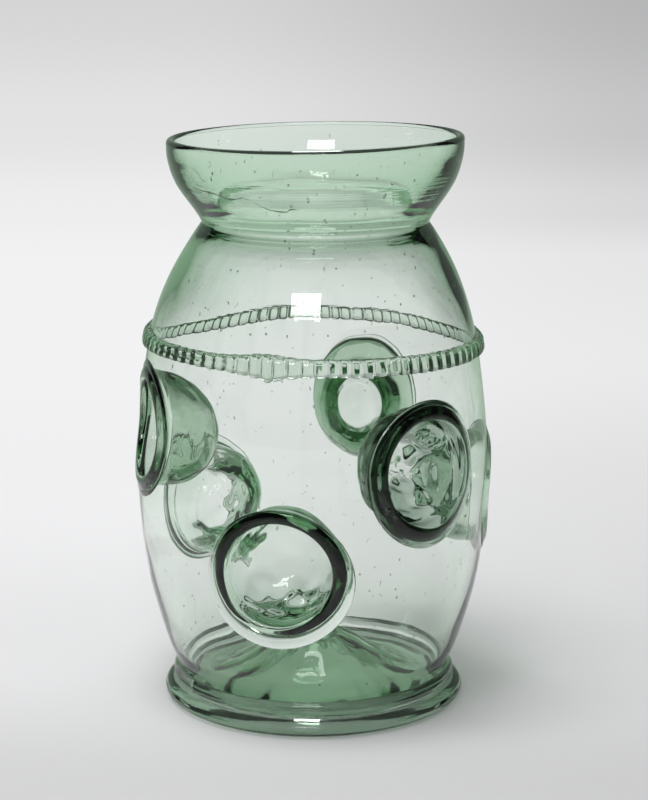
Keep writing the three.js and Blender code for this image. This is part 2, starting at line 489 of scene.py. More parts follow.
    def lean(self, point: Vector) -> Vector:
        """Moves a point as the hand-worked mouth leans and lifts.

        Args:
            point: the point.

        Returns:
            Its new place.
        """
        share = ease(point.z, self.thread_top, self.neck[1])
        facing = math.cos(math.atan2(point.x, -point.y) - math.radians(self.rim_lift_azimuth))
        lift = self.rim_lift * (1.0 + facing) / 2.0 * ease(point.z, self.neck[1], self.mouth[1])
        return point + Vector((self.mouth_lean * share, 0.0, lift))


# Finishes


class Wiring:
    """The nodes of a material or of the room, added and joined one by one."""

    def __init__(self, tree: bpy.types.NodeTree) -> None:
        """Takes up a node tree."""
        self.nodes = tree.nodes
        self.links = tree.links

    def feed(self, node: bpy.types.Node, inputs: dict[str | int, Feed]) -> None:
        """Sets the inputs of a node, and joins those that are given a socket.

        Args:
            node: the node.
            inputs: what each input gets, by its name or number.
        """
        for name, value in inputs.items():
            if isinstance(value, bpy.types.NodeSocket):
                self.links.new(value, node.inputs[name])
            else:
                node.inputs[name].default_value = value

    def add(
        self, kind: str, output: str, inputs: dict[str | int, Feed] | None = None, **settings: str | bool
    ) -> bpy.types.NodeSocket:
        """Adds a node.

        Args:
            kind: the kind of node.
            output: the output that is wanted of it.
            inputs: what its inputs get.
            settings: its other settings.

        Returns:
            The output.
        """
        node = self.nodes.new("ShaderNode" + kind)
        for name, value in settings.items():
            setattr(node, name, value)
        self.feed(node, inputs or {})
        return node.outputs[output]

    def ranged(
        self, value: Feed, start: float, end: float, low: Feed = 0.0, high: Feed = 1.0, soft: bool = False
    ) -> bpy.types.NodeSocket:
        """Returns a value brought from one range to another.

        Args:
            value: the value.
            start: where its range starts.
            end: where its range ends.
            low: what it becomes at the start.
            high: what it becomes at the end.
            soft: whether it eases in and out.

        Returns:
            The new value.
        """
        inputs = {"Value": value, "From Min": start, "From Max": end, "To Min": low, "To Max": high}
        way = "SMOOTHSTEP" if soft else "LINEAR"
        return self.add("MapRange", "Result", inputs, interpolation_type=way)

    def worked(self, way: str, first: Feed, second: Feed, clamped: bool = False) -> bpy.types.NodeSocket:
        """Returns what a sum or another step of arithmetic makes of two values."""
        return self.add("Math", "Value", {0: first, 1: second}, operation=way, use_clamp=clamped)

    def mixed(self, share: Feed, first: Feed, second: Feed, way: str = "MIX") -> bpy.types.NodeSocket:
        """Returns a colour mixed of two."""
        inputs = {"Factor": share, "A": first, "B": second}
        return self.add("Mix", "Result", inputs, data_type="RGBA", blend_type=way)


@dataclass(frozen=True)
class GlassFinish:
    """Pale green forest glass: clear, tinted in its thickness, with the marks of hand work.

    The tint is what a millimetre of the glass takes from red, green and blue light. The colour
    depth only shares it out between the colour and the density of the volume.
    """

    name: str
    tint: Triple = (0.066, 0.027, 0.060)
    colour_depth: float = 0.9
    refraction: float = 1.52
    wave_size: float = 14.0
    wave_height: float = 0.010
    tool_mark_height: float = 0.0
    tool_mark_from: float = 150.0
    tool_mark_rise: float = 18.0
    tool_mark_stretch: Triple = (12.0, 12.0, 900.0)
    haze: float = 0.02
    haze_scale: float = 160.0
    scuff: float = 0.05
    scuff_below: float = 0.0
    scuff_rise: float = 3.0
    shade_facing: float = 0.9
    shade_edge: float = 0.6
    shade_blend: float = 0.3

    def make(self) -> bpy.types.Material:
        """Builds the material.

        Returns:
            The material, with the glass on its surface and its tint in its volume.
        """
        material = bpy.data.materials.new(self.name)
        material.use_nodes = True
        wiring = Wiring(material.node_tree)
        place = wiring.add("TexCoord", "Object")
        glass = wiring.nodes["Principled BSDF"]
        look = {"Base Color": WHITE, "Metallic": 0.0, "IOR": self.refraction, "Transmission Weight": 1.0}
        look |= {"Roughness": self.roughness(wiring, place), "Normal": self.relief(wiring, place)}
        wiring.feed(glass, look)
        surface = self.clear_to_lamps(wiring, glass.outputs["BSDF"])
        wiring.feed(wiring.nodes["Material Output"], {"Surface": surface, "Volume": self.volume(wiring)})
        return material

    def volume(self, wiring: Wiring) -> bpy.types.NodeSocket:
        """Makes the tint, as a volume that takes up light.

        Args:
            wiring: the nodes of the material.

        Returns:
            The volume.
        """
        density = max(self.tint) / self.colour_depth / MM
        colour = (*(1.0 - part / MM / density for part in self.tint), 1.0)
        return wiring.add("VolumeAbsorption", "Volume", {"Density": density, "Color": colour})

    def clear_to_lamps(self, wiring: Wiring, glass: bpy.types.NodeSocket) -> bpy.types.NodeSocket:
        """Lets the light of the lamps through, less of it where the glass is met edge on.

        Args:
            wiring: the nodes of the material.
            glass: the glass shader.

        Returns:
            The glass shader, with clear glass for the light of the lamps.
        """
        edge = wiring.add("LayerWeight", "Facing", {"Blend": self.shade_blend})
        facing, side = ((*(shade,) * 3, 1.0) for shade in (self.shade_facing, self.shade_edge))
        clear = wiring.add("BsdfTransparent", "BSDF", {"Color": wiring.mixed(edge, facing, side)})
        to_lamp = wiring.add("LightPath", "Is Shadow Ray")
        return wiring.add("MixShader", "Shader", {"Fac": to_lamp, 1: glass, 2: clear})

    def roughness(self, wiring: Wiring, place: bpy.types.NodeSocket) -> bpy.types.NodeSocket:
        """Makes a faint haze with scuffs below a level.

        Args:
            wiring: the nodes of the material.
            place: the object coordinates.

        Returns:
            The roughness.
        """
        cloud = wiring.add("TexNoise", "Fac", {"Vector": place, "Scale": self.haze_scale, "Detail": 4.0})
        level = wiring.add("SeparateXYZ", "Z", {"Vector": place})
        start, end = self.scuff_below * MM, (self.scuff_below - self.scuff_rise) * MM
        scuffed = wiring.ranged(level, start, end, 0.0, self.scuff)
        return wiring.ranged(cloud, 0.45, 0.7, 0.0, wiring.worked("ADD", scuffed, self.haze))

    def relief(self, wiring: Wiring, place: bpy.types.NodeSocket) -> bpy.types.NodeSocket:
        """Makes the broad waves of blown glass and the lines that the tools drew round it.

        Args:
            wiring: the nodes of the material.
            place: the object coordinates.

        Returns:
            The normal.
        """
        scale = 1.0 / (self.wave_size * MM)
        waves = wiring.add(
            "TexNoise", "Fac", {"Vector": place, "Scale": scale, "Detail": 2.0, "Roughness": 0.4}
        )
        depth = self.wave_height * MM
        wavy = wiring.add("Bump", "Normal", {"Strength": 1.0, "Distance": depth, "Height": waves})
        if self.tool_mark_height <= 0.0:
            return wavy
        stretched = wiring.add("Mapping", "Vector", {"Vector": place, "Scale": self.tool_mark_stretch})
        lines = wiring.add("TexNoise", "Fac", {"Vector": stretched, "Scale": 1.0, "Detail": 3.0})
        level = wiring.add("SeparateXYZ", "Z", {"Vector": place})
        start, end = self.tool_mark_from * MM, (self.tool_mark_from + self.tool_mark_rise) * MM
        faded = wiring.worked("MULTIPLY", lines, wiring.ranged(level, start, end, soft=True))
        marked = {"Strength": 1.0, "Distance": self.tool_mark_height * MM, "Height": faded, "Normal": wavy}
        return wiring.add("Bump", "Normal", marked)


def hand_in(
    piece: bpy.types.Object, finish: bpy.types.Material, nodes: Sequence[str]
) -> None:
    """Gives a finished piece its material and its place in the frame.

    Args:
        piece: the piece.
        finish: its material.
        nodes: the CAD nodes that it stands for.
    """
    piece.data.materials.clear()
    piece.data.materials.append(finish)
    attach(piece, "root")
    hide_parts(*nodes)
    log.info("%s: %d faces, for %s", piece.name, len(piece.data.polygons), ", ".join(nodes))


# Thumb cups


class CupRow(Enum):
    """The two rows that the cups stand in, by the level of their middles."""

    UPPER = 97.0
    LOWER = 62.0


class CupGlass(Enum):
    """What a millimetre of a cup's gather takes from red, green and blue light. FULL and DEEP take more
    than the pale glass does: painted shade that darkens the cups given them.
    """

    PALE = (0.060, 0.031, 0.055)
    # Painted shade: darker copies of the pale cup glass.
    FULL = (0.090, 0.052, 0.085)
    DEEP = (0.152, 0.113, 0.144)


@dataclass(frozen=True)
class Swirl:
    """Ripples in a hollow, round a middle that lies across, up and in from the cup's mouth."""

    across: float
    up: float
    depth: float
    slant: float = 0.25
    stretch: float = 1.5
    height: float = 0.3
    pitch: float = 1.9
    fades: Point = (4.0, 6.5)

    def push(self, across: float, up: float, depth: float) -> float:
        """Measures how far the ripples push out a place in the hollow.

        Args:
            across: how far the place lies across from the cup's axis.
            up: how far up from it.
            depth: how deep.

        Returns:
            The distance.
        """
        beside, deeper = across - self.across, depth - self.depth
        slant = up - self.up + self.slant * beside
        away = math.hypot(beside / self.stretch, slant, deeper / self.stretch)
        wave = math.sin(2.0 * math.pi * away / self.pitch)
        return self.height * wave * (1.0 - ease(away, *self.fades))


@dataclass(frozen=True)
class CupPlace:
    """Where one thumb cup sits, how far it strayed from its row and how it came out."""

    node: str
    azimuth: float
    row: CupRow
    stray: float
    wide: float
    tall: float
    seed: float
    taper: float = 0.0
    shift: Point = (0.0, 0.0)
    lumps: float = 1.0
    drop: float = 0.0
    proud: float = 1.2
    full: float = 1.0
    hollow_shift: Point = (0.0, 0.0)
    swirl: Swirl | None = None
    glass: CupGlass = CupGlass.PALE
    oval: float = 0.012
    cornered: float = 0.008
    drops_over: Point = (21.0, 24.0)

    @property
    def level(self) -> float:
        """The level of the cup's middle."""
        return self.row.value + self.stray

    def spread(self, angle: float) -> float:
        """Returns the share by which the cup's round is wider at an angle than a circle."""
        oval = self.oval * math.sin(2.0 * angle + self.seed)
        return 1.0 + oval + self.cornered * math.sin(3.0 * angle + 2.0 * self.seed)

    def shaped(self, radius: float, angle: float) -> Point:
        """Shapes the cup's round at a point of its section.

        Args:
            radius: the point's distance from the cup's axis.
            angle: its angle round the axis.

        Returns:
            The place across and up.
        """
        wide = radius * self.spread(angle)
        up = wide * self.tall * math.sin(angle) - self.drop * ease(radius, *self.drops_over)
        return wide * self.wide * math.cos(angle), up

    def placed(self, across: float, up: float, reach: float) -> Vector:
        """Places a point beside the wall.

        Args:
            across: its distance across the wall.
            up: its distance up from the cup's middle.
            reach: its distance out from the vessel's axis.

        Returns:
            The point.
        """
        out = placed_round(self.azimuth, 1.0, 0.0)
        point = out.cross(UP) * across + out * reach
        point.z = self.level + up
        return point


@dataclass
class ThumbCup:
    """A hollow thumb cup: a gather laid on the wall and sucked inwards, with a rolled lip.

    Depths are measured inwards from the outer face of the wall. The cone gives the radius and the
    depth of a hollow that narrows, and the seam is the play between the cup and its hole. The lumps
    of the hollow calm down towards its upper part.
    """

    wall: BlownWall
    place: CupPlace
    edge_radius: float = 24.0
    lip_radius: float = 19.3
    lip_outer: float = 22.0
    opening_radius: float = 17.0
    hollow_radius: float = 17.2
    bowl_radius: float = 20.3
    collar_depth: float = 7.0
    hollow_depth: float = 24.8
    bowl_depth: float = 26.8
    lump_height: float = 0.75
    lump_size: float = 7.5
    fold_size: float = 3.6
    fold_share: float = 0.6
    calm_share: float = 0.45
    calm_over: Point = (-8.0, 10.0)
    under_share: float = 0.4
    lumps_inside: Point = (8.0, 14.0)
    lumps_under: Point = (3.0, 12.0)
    smooth_until: float = 2.5
    fills_over: Point = (2.5, 9.0)
    pulled_from: float = 3.0
    leaves_wall: Point = (2.0, 9.0)
    cone: tuple[Point, ...] = (
        (17.2, 7.0), (15.2, 10.0), (13.2, 13.0), (11.6, 16.0),
        (10.5, 19.0), (9.2, 22.0), (7.2, 23.6), (0.0, 24.8),
    )
    plug_from: float = -16.0
    plug_height: float = 26.0
    hollow_steps: int = 44
    bowl_steps: int = 24
    steps: int = 128
    sharp_from: float = 50.0
    seam: float = 0.012
    seam_depth: float = 4.0

    @cached_property
    def middle(self) -> float:
        """The radius of the outer face at the cup's middle."""
        return self.wall.outer(self.place.azimuth, self.place.level)

    @cached_property
    def thick(self) -> float:
        """The thickness of the wall at the cup's level."""
        return self.wall.thickness_at(self.place.level)

    def section(self) -> list[Point]:
        """Draws the section of the cup as (radius, minus depth), from pole to pole.

        Returns:
            The outline, from the middle of the hollow over the lip to the middle of the bowl.
        """
        edge, bowl, opening = self.edge_radius, self.bowl_radius, self.opening_radius
        thick, proud = self.thick, self.place.proud
        hollow = []
        for i in range(self.hollow_steps):
            angle = math.pi / 2.0 * i / self.hollow_steps
            deep = self.collar_depth + (self.hollow_depth - self.collar_depth) * math.cos(angle)
            dome = self.hollow_radius * math.sin(angle)
            hollow.append((blend(dome, value_at(self.cone, deep), self.place.taper), -deep))
        hollow[0] = (0.0, -self.hollow_depth)
        lip = (
            (self.hollow_radius, -self.collar_depth), (opening, -self.collar_depth * 0.5),
            (opening + 0.05, -1.2), (opening + 0.45, 0.2), (opening + 1.2, proud * 0.84),
            (self.lip_radius, proud), (self.lip_radius + 1.2, proud * 0.84),
            (self.lip_outer - 0.5, proud * 0.5), (self.lip_outer, proud * 0.38),
            (self.lip_outer + 0.6, proud * 0.44), (edge - 0.7, proud * 0.32),
            (edge - 0.15, proud * 0.12), (edge, 0.0),
        )
        foot = (
            (edge, -thick), (edge - 1.0, -thick - 0.15), (bowl + 1.6, -thick - 0.9),
            (bowl + 0.45, -thick - 2.6), (bowl, -self.collar_depth),
        )
        under = []
        for i in range(1, self.bowl_steps + 1):
            angle = math.pi / 2.0 * i / self.bowl_steps
            deep = self.collar_depth + (self.bowl_depth - self.collar_depth) * math.sin(angle)
            under.append((bowl * math.cos(angle), -deep))
        under[-1] = (0.0, -self.bowl_depth)
        return [*hollow, *curve_through(lip, 3), *curve_through(foot, 4), *under]

    def bent(self, point: Vector) -> Vector:
        """Lays a point of the spun cup on the wall.

        Args:
            point: the point, with the cup's axis upright and the wall's outer face at 0.

        Returns:
            Its place on the vessel.
        """
        radius, angle = math.hypot(point.x, point.y), math.atan2(point.y, point.x)
        depth = -point.z
        radius, depth = self.lumped(radius, angle, depth)
        if depth < self.seam_depth and radius > self.edge_radius - 0.01:
            radius -= self.seam
        radius *= blend(1.0, self.place.full, ease(depth, *self.fills_over))
        across, up = self.place.shaped(radius, angle)
        pulled = ease(depth, self.pulled_from, self.hollow_depth)
        shifts = [self.place.shift]
        if self.in_hollow(radius, depth):
            shifts.append(self.place.hollow_shift)
        for sideways, upwards in shifts:
            across, up = across + sideways * pulled, up + upwards * pulled
        azimuth, level = self.place.azimuth, self.place.level + up
        straight = self.middle - depth
        follow = 1.0 - ease(depth, *self.leaves_wall)
        if follow == 0.0:
            return self.place.placed(across, up, straight)
        outer = self.wall.reach(self.wall.outer, azimuth, across, level)
        inner = self.wall.reach(self.wall.inner, azimuth, across, level)
        on_wall = outer - depth * (outer - inner) / self.thick
        return self.place.placed(across, up, blend(straight, on_wall, follow))

    def in_hollow(self, radius: float, depth: float) -> bool:
        """Tells whether a point of the section lies on the wall of the hollow.

        Args:
            radius: its distance from the cup's axis.
            depth: its depth.

        Returns:
            True for the hollow, False for the lip and the bowl.
        """
        down = max(depth - self.collar_depth, 0.0)
        length = self.hollow_depth - self.collar_depth
        return depth > 1.0 and math.hypot(radius / self.hollow_radius, down / length) < 1.03

    def lumped(self, radius: float, angle: float, depth: float) -> Point:
        """Gives the hollow the lumps and folds that the sucking left in it.

        Args:
            radius: the distance of a point from the cup's axis.
            angle: its angle round the axis.
            depth: its depth.

        Returns:
            Its radius and depth with the lumps.
        """
        down = max(depth - self.collar_depth, 0.0)
        if depth < self.smooth_until:
            return radius, depth
        x, y = radius * math.cos(angle), radius * math.sin(angle)
        inside = self.in_hollow(radius, depth)
        seed = self.place.seed + (0.0 if inside else 5.0)
        lump = unevenness(x * 0.8, y, depth, self.lump_size, seed)
        lump += self.fold_share * unevenness(x, y * 0.6, depth, self.fold_size, seed + 1.0)
        share, rise = self.under_share, self.lumps_under
        if inside:
            share, rise = blend(self.calm_share, 1.0, ease(-y, *self.calm_over)), self.lumps_inside
        height = self.lump_height * self.place.lumps * share * ease(depth, *rise)
        across = radius / self.bowl_radius
        along = down / (self.bowl_depth - self.collar_depth)
        length = max(math.hypot(across, along), 1e-6)
        push = lump * height
        if inside and self.place.swirl:
            push += self.place.swirl.push(x, y, depth)
        return radius + push * across / length, depth + push * along / length

    def build(self) -> bpy.types.Object:
        """Builds the cup on the wall."""
        return form(self.place.node + "_glass", self.section(), self.steps, self.bent, self.sharp_from)

    def cutter(self) -> bpy.types.Object:
        """Builds the plug that cuts the cup's hole in the wall.

        Returns:
            A prism with as many sides as the cup has steps.
        """
        deselect_all()
        radius = self.edge_radius * MM
        bpy.ops.mesh.primitive_circle_add(vertices=self.steps, radius=radius, fill_type="NGON")
        plug = bpy.context.object
        with edited(plug):
            bpy.ops.transform.translate(value=(0.0, 0.0, self.plug_from * MM))
            rise = {"value": (0.0, 0.0, self.plug_height * MM)}
            bpy.ops.mesh.extrude_region_move(TRANSFORM_OT_translate=rise)
        turn = math.atan2(plug.data.vertices[0].co.y, plug.data.vertices[0].co.x)

        def set_in(point: Vector) -> Vector:
            """Sets a point of the plug in the wall.

            Args:
                point: the point.

            Returns:
                Its place.
            """
            angle = math.atan2(point.y, point.x) - turn
            across, up = self.place.shaped(math.hypot(point.x, point.y), angle)
            return self.place.placed(across, up, self.middle + point.z)

        settle(plug, set_in)
        face_outwards(plug)
        return plug


# Vessel


@dataclass
class Vessel:
    """The blown body: barrel, shoulder, neck, cup-shaped mouth and kicked base, with its seeds."""

    wall: BlownWall
    cups: Sequence[ThumbCup]
    floor: tuple[Point, ...] = (
        (47.1, 13.4), (46.0, 9.4), (44.4, 6.0), (41.5, 4.5), (37.5, 5.1), (30.0, 9.0),
        (22.7, 13.7), (15.5, 18.7), (9.0, 22.3), (3.5, 23.9), (0.0, 24.0),
    )
    underside: tuple[Point, ...] = (
        (0.0, 18.4), (3.5, 18.1), (6.2, 17.0), (7.0, 17.5), (9.5, 15.9), (16.0, 11.6),
        (24.0, 6.3), (32.0, 2.6), (38.0, 1.4), (42.0, 1.0), (44.6, 2.0),
    )
    floor_radius: float = 44.0
    floor_level: float = 40.0
    floor_uneven_from: Point = (2.0, 14.0)
    floor_uneven_until: Point = (30.0, 42.0)
    floor_swell: float = 1.0
    floor_swell_size: float = 13.0
    floor_dent: float = 0.5
    floor_dent_size: float = 5.0
    fold_height: float = 0.3
    fold_size: float = 7.0
    steps: int = 168
    lip_steps: int = 12
    sharp_from: float = 40.0
    seeds: int = 700
    seed_number: int = 12
    seed_sizes: tuple[float, ...] = (0.12, 0.15, 0.18, 0.22, 0.26, 0.32, 0.4)
    seed_lengths: tuple[float, ...] = (1.0, 1.1, 1.3, 1.6, 2.6)
    seed_flatness: float = 0.8
    seed_levels: Point = (16.0, 194.0)
    seed_fill: float = 0.55
    seed_drift: float = 0.3
    seed_tilt: float = 0.5
    cup_share: float = 1.08
    cup_room: float = 1.0
    cords: tuple[tuple[Point, ...], ...] = (
        ((-58.5, 185.5), (-51.0, 184.6), (-44.0, 184.0), (-37.0, 182.6), (-31.0, 183.4), (-27.0, 182.9)),
        ((-26.0, 182.4), (-21.5, 180.3), (-17.5, 179.5), (-13.0, 179.2), (-10.5, 180.1), (-7.5, 180.2)),
        ((-53.5, 191.6), (-51.0, 190.6), (-49.5, 188.6), (-47.5, 187.8)),
        ((60.0, 184.0), (58.8, 181.6), (56.8, 180.6), (56.0, 178.6)),
        ((30.5, 187.6), (31.5, 187.3), (33.0, 187.9)),
    )
    cord_width: float = 0.3
    cord_depth: float = 0.17
    cord_steps: int = 7
    cord_waver: float = 0.5
    cord_waver_up: float = 0.3

    def lip(self) -> list[Point]:
        """Draws the rounded lip between the outer and the inner outline.

        Returns:
            The lip as (radius, level).
        """
        radius, top = self.wall.lip_radius, self.wall.mouth[1]
        points = []
        for i in range(1, self.lip_steps):
            angle = math.pi * i / self.lip_steps
            out = self.wall.mouth[0] - radius + radius * math.cos(angle)
            points.append((out, top - radius + radius * math.sin(angle)))
        return points

    def section(self) -> list[Point]:
        """Draws the section of the blown body.

        Returns:
            The outline from the axis below the base, over the rim, to the axis inside.
        """
        below = curve_through([*self.underside, self.wall.outline[0]], 3)[:-1]
        inside = list(reversed(self.wall.inner_outline))
        floor = curve_through([inside[-1], *self.floor], 4)[1:]
        return [*below, *self.wall.outline, *self.lip(), *inside, *floor]

    def settled(self, point: Vector) -> Vector:
        """Moves a point of the spun body as blown glass wanders.

        Args:
            point: the point as spun.

        Returns:
            The point as blown.
        """
        radius = math.hypot(point.x, point.y)
        if radius < 1e-6:
            return point
        azimuth, level = azimuth_of(point), point.z
        outside = radius > value_at(self.wall.outline, level) - 0.3 or level < self.wall.heel[1] + 0.01
        if radius < self.floor_radius and level < self.floor_level:
            share = ease(radius, *self.floor_uneven_from) * (1.0 - ease(radius, *self.floor_uneven_until))
            swell_here = unevenness(point.x, point.y, 0.0, self.floor_swell_size, 6.1)
            level += self.floor_swell * share * swell_here
            dent = unevenness(point.x, point.y, level * 0.2, self.floor_dent_size, 2.7)
            level += self.floor_dent * share * dent
            fold = unevenness(azimuth * 0.5, 0.0, radius * 0.3, self.fold_size, 9.3)
            level += self.fold_height * share * fold
            change = 0.0
        else:
            change = self.wall.wander(azimuth, level)
            change += 0.0 if outside else self.wall.swelling(azimuth, level)
        scale = (radius + change) / radius
        return self.wall.lean(Vector((point.x * scale, point.y * scale, level)))

    def clear_of_cups(self, azimuth: float, level: float) -> bool:
        """Tells whether a place on the wall lies clear of every cup.

        Args:
            azimuth: its azimuth.
            level: its level.

        Returns:
            True if it does.
        """
        for cup in self.cups:
            away = math.radians(turned(azimuth - cup.place.azimuth)) * self.wall.pattern_radius
            if math.hypot(away, level - cup.place.level) < cup.edge_radius * self.cup_share + self.cup_room:
                return False
        return True

    def seed_places(self) -> list[tuple[Vector, Vector, float]]:
        """Scatters the seeds, small bubbles caught in the glass.

        Returns:
            The middle, the way outwards and the size of each.
        """
        draw = random.Random(self.seed_number)
        places = []
        while len(places) < self.seeds:
            azimuth, level = draw.uniform(-180.0, 180.0), draw.uniform(*self.seed_levels)
            size = draw.choice(self.seed_sizes)
            if not self.clear_of_cups(azimuth, level):
                continue
            outer, inner = self.wall.outer(azimuth, level), self.wall.inner(azimuth, level)
            room = (outer - inner) / 2.0
            size = min(size, room * self.seed_fill / self.seed_flatness)
            drift = draw.uniform(-self.seed_drift, self.seed_drift)
            radius = inner + room + drift * (room - size)
            out = placed_round(azimuth, 1.0, 0.0)
            middle = self.wall.lean(Vector((out.x * radius, out.y * radius, level)))
            places.append((middle, out, size))
        return places

    def add_seeds(self, body: bpy.types.Object) -> None:
        """Blows the seeds into the wall.

        Args:
            body: the vessel, which the seeds are joined to.
        """
        deselect_all()
        bpy.ops.mesh.primitive_uv_sphere_add(segments=8, ring_count=5, radius=1.0)
        seed = bpy.context.object
        grown = bmesh.new()
        draw = random.Random(self.seed_number + 1)
        count = len(seed.data.vertices)
        for middle, out, size in self.seed_places():
            grown.from_mesh(seed.data)
            grown.verts.ensure_lookup_table()
            fresh = grown.verts[-count:]
            turn = Matrix((out, UP.cross(out), UP)).transposed().to_4x4()
            long = draw.choice(self.seed_lengths)
            tilt = Matrix.Rotation(draw.uniform(-self.seed_tilt, self.seed_tilt), 4, out)
            sized = Matrix.Diagonal((self.seed_flatness * size, size, size * long, 1.0))
            move = Matrix.Translation(middle) @ tilt @ turn @ sized
            bmesh.ops.transform(grown, matrix=Matrix.Scale(MM, 4) @ move, verts=fresh)
        self.add_cords(grown)
        bmesh.ops.reverse_faces(grown, faces=grown.faces)
        grown.to_mesh(seed.data)
        grown.free()
        take_up(body)
        seed.select_set(True)
        bpy.ops.object.join()

    def add_cords(self, grown: bmesh.types.BMesh) -> None:
        """Draws the thin folds of the mouth, each a slender hollow inside the glass.

        Args:
            grown: the mesh of the seeds, which the folds are added to.
        """
        for number, cord in enumerate(self.cords):
            path = curve_through(cord, self.cord_steps)
            rings = []
            for i, (azimuth, level) in enumerate(path):
                azimuth += self.cord_waver * unevenness(azimuth, level, 0.0, 1.3, number + 0.5)
                level += self.cord_waver_up * unevenness(azimuth, level, 0.0, 1.7, number + 7.5)
                slim = math.sin(math.pi * (i + 0.5) / len(path)) ** 0.5
                slim *= 0.75 + 0.5 * unevenness(azimuth, level, 0.0, 3.0, number + 3.5)
                radius = (self.wall.outer(azimuth, level) + self.wall.inner(azimuth, level)) / 2.0
                ring = []
                for out, up in ((1.0, 0.0), (0.0, 1.0), (-1.0, 0.0), (0.0, -1.0)):
                    away = radius + out * self.cord_depth * slim
                    place = placed_round(azimuth, away, level + up * self.cord_width * slim)
                    ring.append(grown.verts.new(self.wall.lean(place) * MM))
                rings.append(ring)
            for first, second in zip(rings, rings[1:]):
                for j in range(4):
                    grown.faces.new((first[j - 1], first[j], second[j], second[j - 1]))
            grown.faces.new(reversed(rings[0]))
            grown.faces.new(rings[-1])
        bmesh.ops.recalc_face_normals(grown, faces=grown.faces)

    def build(self) -> bpy.types.Object:
        """Builds the body, cuts the holes of the cups and adds the seeds.

        Returns:
            The finished vessel.
        """
        body = spin_outline("vessel_glass", self.section(), self.steps)
        settle(body, self.settled)
        plugs = [cup.cutter() for cup in self.cups]
        take_up(plugs[0])
        for plug in plugs:
            plug.select_set(True)
        bpy.ops.object.join()
        take_up(body)
        cut = body.modifiers.new("cup_holes", "BOOLEAN")
        cut.operation = "DIFFERENCE"
        cut.solver = "EXACT"
        cut.object = plugs[0]
        bpy.ops.object.modifier_apply(modifier=cut.name)
        bpy.data.objects.remove(plugs[0])
        self.add_seeds(body)
        smooth(body, self.sharp_from)
        return body


# Milled thread


@dataclass
class MilledThread:
    """The trail round the shoulder, impressed by a toothed wheel, with its lapped ends."""

    wall: BlownWall
    level: float = 129.6
    height: float = 6.0
    depth: float = 2.4
    tilt: float = 1.2
    teeth: int = 87
    tooth_depth: float = 1.25
    tooth_unevenness: float = 0.3
    tooth_uneven_size: float = 11.0
    rib_rises_until: float = 0.24
    rib_falls_from: float = 0.62
    rib_fullness: float = 1.6
    lap_azimuth: float = -15.0
    lap_width: float = 9.0
    lap_height: float = 2.4
    lap_depth: float = 0.6
    drip_height: float = 1.1
    drip_beside: float = 1.5
    drip_width: float = 2.2
    thin_azimuth: float = -50.0
    thin_width: float = 26.0
    thin_share: float = 0.16
    rough_share: float = 0.07
    groove_azimuth: float = -48.0
    groove_width: float = 24.0
    groove_depth: float = 0.7
    notch_above: float = 0.93
    notch_below: float = 0.86
    middle_radius: float = 58.0
    tilt_radius: float = 57.5
    spun_radius: float = 50.0
    waver: float = 0.12
    waver_size: float = 9.0
    sunk: float = 0.03
    steps_in_tooth: int = 12
    sharp_from: float = 60.0

    def section(self) -> list[Point]:
        """Draws the section in shares of the depth and of half the height.

        Returns:
            The closed outline.
        """
        corners = [
            (0.0, 1.0), (0.45, 0.97), (0.78, 0.86), (0.95, 0.6), (1.0, 0.3), (1.0, 0.0),
            (1.0, -0.3), (0.95, -0.6), (0.78, -0.86), (0.45, -0.97), (0.0, -1.0), (0.0, -0.5), (0.0, 0.5),
        ]
        return [(self.spun_radius + out, up) for out, up in [*corners, corners[0]]]

    def tooth(self, azimuth: float) -> float:
        """Measures how far the trail stands up.

        Args:
            azimuth: the azimuth.

        Returns:
            1 on a rib and 0 in a notch.
        """
        uneven = self.tooth_unevenness * unevenness(azimuth, 0.0, 0.0, self.tooth_uneven_size, 2.3)
        place = (azimuth / 360.0 * self.teeth + uneven) % 1.0
        fall = ease(place, self.rib_falls_from, 1.0) ** self.rib_fullness
        return ease(place, 0.0, self.rib_rises_until) * (1.0 - fall)

    def impressed(self, point: Vector) -> Vector:
        """Presses the teeth into a point of the spun trail and lays it on the wall.

        Args:
            point: the point as spun, in shares of the trail's depth and height.

        Returns:
            Its place on the shoulder.
        """
        azimuth = azimuth_of(point)
        out, up = math.hypot(point.x, point.y) - self.spun_radius, point.z
        rib = self.tooth(azimuth)
        away = math.radians(turned(azimuth - self.lap_azimuth)) * self.middle_radius
        lap = swell(away, 0.0, self.lap_width)
        thin = 1.0 - self.thin_share * swell(turned(azimuth - self.thin_azimuth), 0.0, self.thin_width)
        rough = 1.0 + self.rough_share * unevenness(azimuth, 0.0, up * 3.0, 4.0, 9.9)
        drip = self.drip_height * swell(away, self.drip_beside, self.drip_width) * (up < 0.0)
        half = (self.height * thin * rough + self.lap_height * lap) / 2.0 + drip
        half *= blend(self.notch_below if up < 0.0 else self.notch_above, 1.0, rib)
        along = swell(turned(azimuth - self.groove_azimuth), 0.0, self.groove_width)
        groove = self.groove_depth * along * swell(up, 0.05, 0.2)
        depth = self.depth * rough + self.lap_depth * lap
        depth -= self.tooth_depth * (1.0 - rib) + groove
        drop = math.tan(math.radians(self.tilt)) * math.sin(math.radians(azimuth)) * self.tilt_radius
        waver = self.waver * unevenness(azimuth, 0.0, 0.0, self.waver_size, 4.4)
        level = self.level - drop + half * up + waver
        radius = self.wall.outer(azimuth, level) + blend(-self.sunk, depth, out)
        return placed_round(azimuth, radius, level)

    def build(self) -> bpy.types.Object:
        """Builds the trail."""
        steps = self.teeth * self.steps_in_tooth
        return form("milled_thread_glass", self.section(), steps, self.impressed, self.sharp_from)


# Foot


